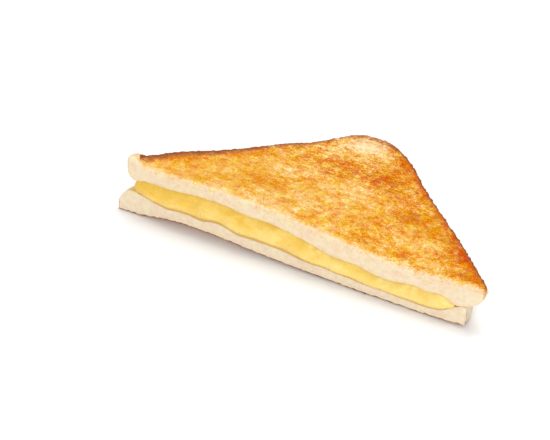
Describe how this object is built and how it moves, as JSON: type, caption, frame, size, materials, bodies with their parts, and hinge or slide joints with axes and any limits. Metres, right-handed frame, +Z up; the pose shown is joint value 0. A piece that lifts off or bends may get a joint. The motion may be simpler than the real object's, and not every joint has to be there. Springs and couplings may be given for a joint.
{
  "type": "grilled cheese sandwich half",
  "caption": "Triangular half of a toasted cheese sandwich: golden toasted slices of white bread, a pale crumb at the diagonal cut, and melted cheese that bulges out between them.",
  "frame": {"origin": "on the toasted underside of the lower slice, under the middle of the bounding box", "axes": "+X along the diagonal cut, towards the end with less cheese; +Y from the cut face back to the square corner of the bread; +Z up, out of the toasted top"},
  "size_m": [0.1552, 0.0784, 0.025],
  "materials": {
    "toasted_bread": "buttered golden toast with darker brown patches and rim; matte cream crumb where it is cut",
    "melted_cheese": "smooth, soft and slightly glossy, warm yellow"
  },
  "bodies": {
    "root": {"bread_bottom": "toasted_bread", "cheese": "melted_cheese", "bread_top": "toasted_bread"}
  },
  "joints": []
}
